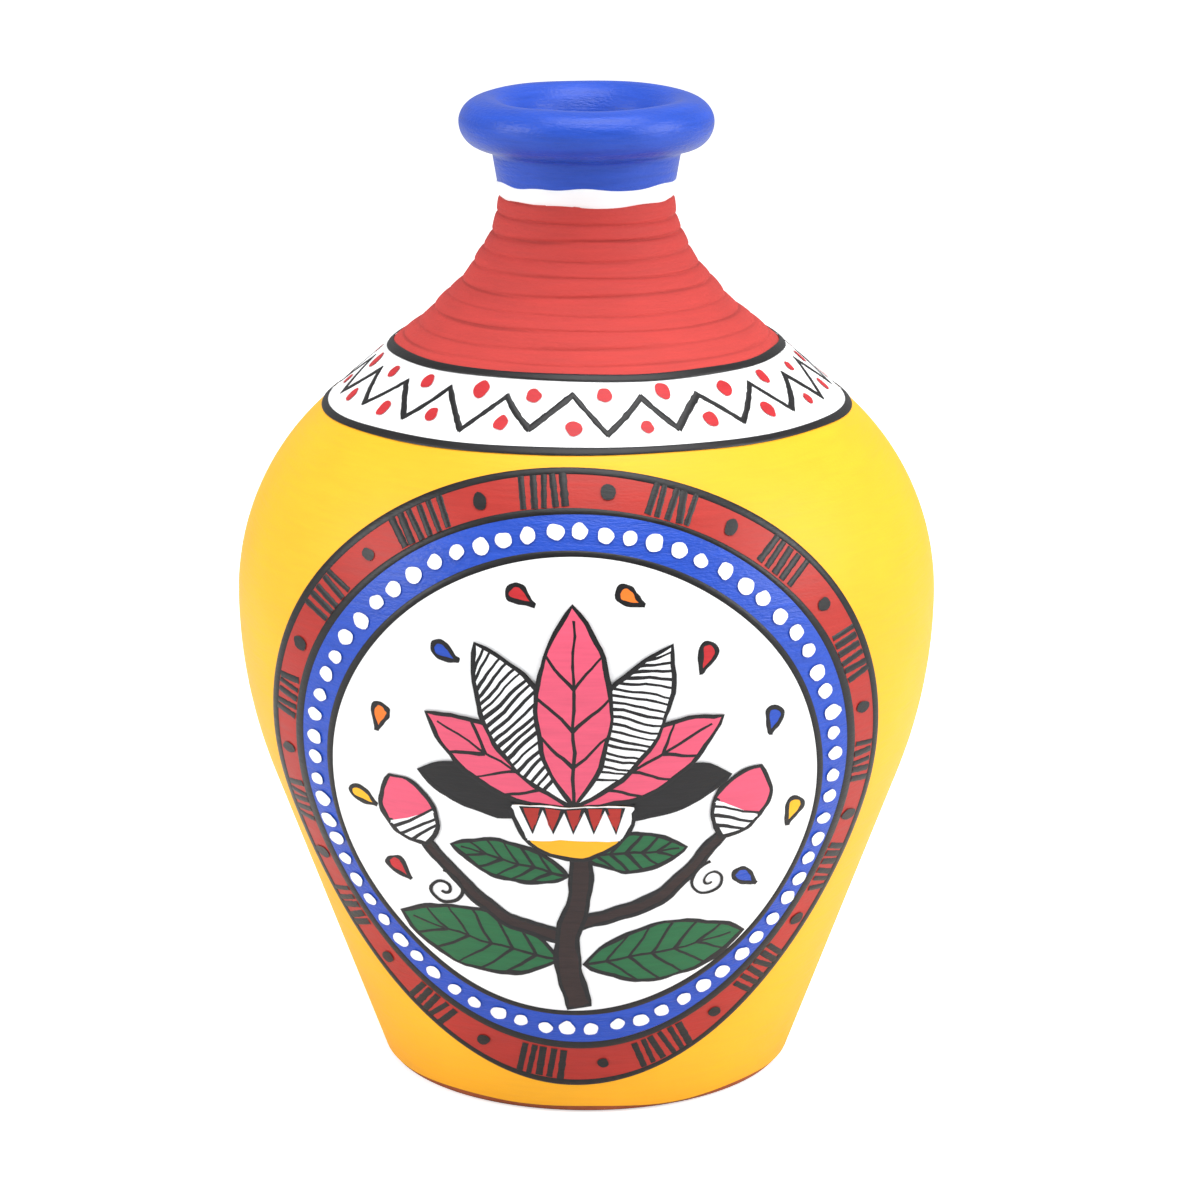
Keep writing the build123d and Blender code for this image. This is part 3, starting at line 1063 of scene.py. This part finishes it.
class JAR_OT_drawing(bpy.types.Operator):
    """Lotus plant with buds, leaves and drops on the white disc"""

    bl_idname = "jar.drawing"
    bl_label = "Drawing"

    def execute(self, context):
        shape, self.paint = context.scene.jar_shape, context.scene.jar_paint
        middle, half = picture_frame(shape, self.paint)
        disc = RING_SHARES["inner_line"][1]
        self.middle = flat(-self.paint.picture_offset, middle + disc[2] * half)
        self.half = disc[0] * shape.belly_radius
        self.level = shape.coat + 1.2 * self.paint.film
        self.layers = {}
        self.source = random.Random(101)
        self.drops()
        self.leaves()
        self.stems()
        self.buds()
        self.flower()
        for key, bm in self.layers.items():
            for vert in bm.verts:
                vert.co += self.unsteady(vert.co)
            wrap_all(bm, on_front(shape))
            finish_piece("drawing_" + key, bm, key)
        return {"FINISHED"}

    def unsteady(self, point):
        """How far the painter's hand strays at a flat point of the drawing."""
        x, y = HAND_PITCH * point.x, HAND_PITCH * point.y
        moves = [
            sum(size * math.sin(a * x + b * y + c) for size, (a, b, c) in zip(HAND_SIZES, waves))
            for waves in HAND_WAVES
        ]
        return HAND_STRAY * flat(*moves)

    def spot(self, share):
        """Flat point of the drawing from its shares."""
        return self.middle + flat(share[0] * self.half, share[1] * self.half)

    def layer(self, key):
        """Flat drawing of one colour."""
        if key not in self.layers:
            self.layers[key] = bmesh.new()
        return self.layers[key]

    def rise(self):
        """Go up by a layer, so that the next shapes cover the last."""
        self.level += LAYER_SHARE * self.paint.film

    def filled(self, outline, key):
        """Filled shape with a hand-drawn black outline on top."""
        film = 0.3 * self.paint.film
        add_patch(self.layer(key), outline, self.level - film, film, self.paint.cell)
        edge = Waver(self.source.randint(0, 9999), 0.2)
        half_width = wavering(OUTLINE_SHARE * self.paint.line_width, edge)
        add_stroke(self.layer("black"), outline, half_width, self.level, film, True)

    def thin(self, path):
        """Thin black line that tapers a little towards its end."""
        width = 0.3 * self.paint.line_width * self.source.uniform(0.85, 1.25)
        film = 0.28 * self.paint.film
        add_stroke(self.layer("black"), path, lambda share: width * (1.1 - 0.35 * share), self.level, film)

    def drops(self):
        """Loose drops round the plant."""
        steps = 36
        outline = []
        for i in range(steps):
            angle = TURN * (i + 0.5) / steps
            side, up = math.sin(angle) * math.sin(angle / 2) ** 1.6, -math.cos(angle)
            curl = DROP_CURL * ((1 - up) / 2) ** 2
            outline.append(flat(DROP_HALVES[0] * side + curl, DROP_HALVES[1] * up))
        for key, shares in DROP_SHARES.items():
            for share, turn in zip(shares, DROP_TURNS_DEG):
                self.filled(placed(outline, self.spot(share), math.radians(turn)), key)

    def leaves(self):
        """Green leaves with black veins."""
        self.rise()
        for start, end, width in LEAF_SHARES:
            root = self.spot(start)
            along = self.spot(end) - root
            turn = math.atan2(along.y, along.x) - QUARTER
            size = (along.length, width * self.half)
            self.filled(placed(petal_outline(*size), root, turn), "green")
            self.vein(root, turn, size, 6)

    def vein(self, root, turn, size, count):
        """Middle vein of a leaf or petal, with side veins up towards its edges."""
        length = size[0]
        veins = [[flat(0, length * i / 14) for i in range(14)]]
        for k in range(1, count):
            share = k / (count + 1)
            top = min(share + 0.16, 0.96)
            low = flat(0, length * share)
            for side in (-1, 1):
                high = petal_point(*size, 0.96 * side, top)
                veins.append([low.lerp(high, i / 6) for i in range(7)])
        for vein in veins:
            self.thin(placed(vein, root, turn))

    def hatch(self, root, turn, size, low, high):
        """Thin slanted lines across a petal."""
        count = max(1, int(size[0] * (high - low) / HATCH_PITCH))
        for k in range(count + 1):
            share = low + (high - low) * k / count
            left = petal_point(*size, -1, max(0.0, share - HATCH_SLANT_SHARE))
            right = petal_point(*size, 1, min(1.0, share + HATCH_SLANT_SHARE))
            right.y += stray(self.source, 0.0003)
            self.thin(placed([left.lerp(right, i / 8) for i in range(9)], root, turn))

    def stems(self):
        """Brown stem and stalks, with curled tendrils."""
        self.rise()
        for root, side in TENDRIL_SHARES:
            self.thin(placed(self.tendril(side), self.spot(root), 0))
        for shares in (*STALK_SHARES, STEM_SHARES):
            width = STALK_WIDTH
            if shares is STEM_SHARES:
                width = STEM_WIDTH
                self.rise()
            path = curve_through([self.spot(share) for share in shares])
            left, right = [], []
            for i, point in enumerate(path):
                across = crosswise(heading(path, i)) * width / 2 * (1.1 - 0.3 * i / len(path))
                left.append(point + across)
                right.append(point - across)
            self.filled(left + right[::-1], "brown")

    def tendril(self, side, steps=39):
        """Spiral that curls up to one side."""
        coil = []
        for i in range(steps + 1):
            share = i / steps
            angle = QUARTER + side * 1.6 * TURN * share**1.4
            reach = TENDRIL_REACH_SHARE * self.half * (1.15 - share)
            across = side * (0.1 * self.half) + reach * math.cos(angle)
            coil.append(flat(across, reach * math.sin(angle)))
        return coil

    def buds(self):
        """Closed bud at the end of each stalk, in its hatched sepal."""
        size = [share * self.half for share in BUD_SHARES]
        cut = size[0] * BUD_CUT_SHARE
        bud = petal_outline(*size)
        sepal = [point for point in bud if point.y < cut]
        sepal.sort(key=lambda point: math.atan2(point.x, cut - point.y))
        for outline, key in ((bud, "pink"), (sepal, "white")):
            self.rise()
            for shares, turn in zip(STALK_SHARES, BUD_TURNS_DEG):
                root, angle = self.spot(shares[-1]), math.radians(turn - 90)
                self.filled(placed(outline, root, angle), key)
                if key == "white":
                    self.hatch(root, angle, size, 0.04, 0.38)

    def flower(self):
        """Big lotus: petals from the back to the front, then the cup."""
        for i, (turn, length, width, key) in enumerate(PETAL_SHARES):
            if i % 2 == 0:
                self.rise()
            angle = math.radians(turn)
            size = (length * self.half, width * self.half)
            outline = placed(petal_outline(*size), self.middle, angle)
            self.filled(outline, "white" if key == "hatched" else key)
            if key == "hatched":
                self.hatch(self.middle, angle, size, 0.2, 0.96)
            if key == "pink":
                self.vein(self.middle, angle, size, 4)
        self.cup()

    def cup(self):
        """Yellow cup with a white strip of dark red teeth."""
        radius, depth = CUP_SHARE * self.half, CUP_BAND_SHARE * self.half
        self.rise()
        self.filled(self.bowl(radius, (math.pi, TURN, 24)), "yellow")
        limit = math.asin(depth / radius)
        self.rise()
        self.filled(self.bowl(radius, (math.pi, math.pi + limit, 6), (TURN - limit, TURN, 6)), "white")
        self.rise()
        width = 2 * math.sqrt(radius**2 - depth**2) / CUP_TEETH
        for i in range(CUP_TEETH):
            centre = self.middle + flat((i - (CUP_TEETH - 1) / 2) * width * 1.08, -0.0004)
            corners = ((-width / 2, 0), (0, -depth * 0.7), (width / 2, 0))
            self.filled([centre + flat(*corner) for corner in corners], "ring_red")

    def bowl(self, radius, *stretches):
        """Points of round stretches about the flower's foot."""
        points = [point for stretch in stretches for point in arc((0, 0), (radius, radius), *stretch)]
        return [self.middle + flat(*point) for point in points]


# Stage, panel and start

FLOOR_HALF = 4.0
LAMP_TARGET = Vector((0, 0, 0.1))

# Name, place, width in metres and power in watts of each lamp
LAMPS = (
    ("top_light", (0.1, -0.15, 1.1), 0.8, 9.0),
    ("right_light", (0.95, -0.3, 0.55), 0.6, 8.5),
    ("left_light", (-0.95, -0.35, 0.55), 0.6, 6.5),
)
CAMERA_PLACE = (0.0, -0.7526, 0.2941)
CAMERA_TILT_DEG = 14.75
CAMERA_LENS = 113.4
CAMERA_SHIFT_SHARE = 0.0113

# How bright the paper and the room are to the camera, and to the light that falls on the jar
PAPER_GREY = 0.95
PAPER_GLOW = 0.6
PAPER_REFLECTED = 0.9
ROOM_LIGHT = 0.46


def split_for_camera(tree, seen, other, output):
    """Show one shader to the camera and another to all other rays."""
    blend = add_node(tree, "ShaderNodeMixShader")
    tree.links.new(add_node(tree, "ShaderNodeLightPath").outputs["Is Camera Ray"], blend.inputs[0])
    tree.links.new(other.outputs[0], blend.inputs[1])
    tree.links.new(seen.outputs[0], blend.inputs[2])
    tree.links.new(blend.outputs[0], tree.nodes[output].inputs["Surface"])


class JAR_OT_stage(bpy.types.Operator):
    """Floor, light and camera"""

    bl_idname = "jar.stage"
    bl_label = "Stage"

    def execute(self, context):
        scene = context.scene
        bm = bmesh.new()
        bmesh.ops.create_grid(bm, x_segments=1, y_segments=1, size=FLOOR_HALF)
        floor = add_object("floor", mesh_from("floor", bm))
        floor.data.materials.append(self.paper())
        scene.world = self.world()
        for lamp in LAMPS:
            self.lamp(*lamp)
        self.camera(scene)
        scene.view_settings.view_transform = "Standard"
        return {"FINISHED"}

    def paper(self):
        """White paper, bright to the camera and duller as a reflector below the jar."""
        paper = bpy.data.materials.new("white paper")
        paper.use_nodes = True
        tree = paper.node_tree
        seen = tree.nodes["Principled BSDF"]
        seen.inputs["Base Color"].default_value = grey(PAPER_GREY)
        seen.inputs["Roughness"].default_value = 0.9
        seen.inputs["Emission Color"].default_value = grey(1)
        seen.inputs["Emission Strength"].default_value = PAPER_GLOW
        dull = add_node(tree, "ShaderNodeBsdfDiffuse")
        dull.inputs["Color"].default_value = grey(PAPER_REFLECTED)
        split_for_camera(tree, seen, dull, "Material Output")
        return paper

    def world(self):
        """White surroundings, dimmer as a light than as a background."""
        world = bpy.data.worlds.new("white room")
        world.use_nodes = True
        tree = world.node_tree
        glow = tree.nodes["Background"]
        glow.inputs["Strength"].default_value = ROOM_LIGHT
        seen = add_node(tree, "ShaderNodeBackground")
        for background in (glow, seen):
            background.inputs["Color"].default_value = grey(1)
        split_for_camera(tree, seen, glow, "World Output")
        return world

    def lamp(self, name, place, size, power):
        """Soft square light that faces the jar's middle."""
        data = bpy.data.lights.new(name, "AREA")
        data.size = size
        data.energy = power
        lamp = add_object(name, data)
        lamp.location = place
        lamp.rotation_euler = (LAMP_TARGET - Vector(place)).to_track_quat("-Z", "Y").to_euler()

    def camera(self, scene):
        """Camera at the photograph's place and angle."""
        data = bpy.data.cameras.new("camera")
        data.sensor_width = 36.0
        data.lens = CAMERA_LENS
        data.shift_x = CAMERA_SHIFT_SHARE
        camera = add_object("camera", data)
        camera.location = CAMERA_PLACE
        camera.rotation_euler = (math.radians(90 - CAMERA_TILT_DEG), 0, 0)
        scene.camera = camera


OPERATORS = (JAR_OT_clay, JAR_OT_coats, JAR_OT_band, JAR_OT_rings, JAR_OT_drawing, JAR_OT_stage)


class JAR_PT_panel(bpy.types.Panel):
    """Sidebar panel with one button for each piece"""

    bl_idname = "JAR_PT_panel"
    bl_label = "Painted Jar"
    bl_space_type = "VIEW_3D"
    bl_region_type = "UI"
    bl_category = "Jar"

    def draw(self, context):
        scene = context.scene
        for settings in (scene.jar_shape, scene.jar_paint, scene.jar_colours):
            for name in settings.__annotations__:
                self.layout.prop(settings, name)
        for operator in OPERATORS:
            self.layout.operator(operator.bl_idname)


CLASSES = (JarShape, JarPaint, JarColours, *OPERATORS, JAR_PT_panel)


def register():
    """Add the classes and the settings to Blender."""
    for cls in CLASSES:
        bpy.utils.register_class(cls)
    bpy.types.Scene.jar_shape = PointerProperty(type=JarShape)
    bpy.types.Scene.jar_paint = PointerProperty(type=JarPaint)
    bpy.types.Scene.jar_colours = PointerProperty(type=JarColours)


def unregister():
    """Take them out again."""
    del bpy.types.Scene.jar_colours
    del bpy.types.Scene.jar_paint
    del bpy.types.Scene.jar_shape
    for cls in reversed(CLASSES):
        bpy.utils.unregister_class(cls)


def main():
    """Build the jar and its stage."""
    register()
    jar = bpy.ops.jar
    for build in (jar.clay, jar.coats, jar.band, jar.rings, jar.drawing, jar.stage):
        if build() != {"FINISHED"}:
            raise RuntimeError("a piece of the jar wasn't built")


if __name__ == "__main__":
    main()
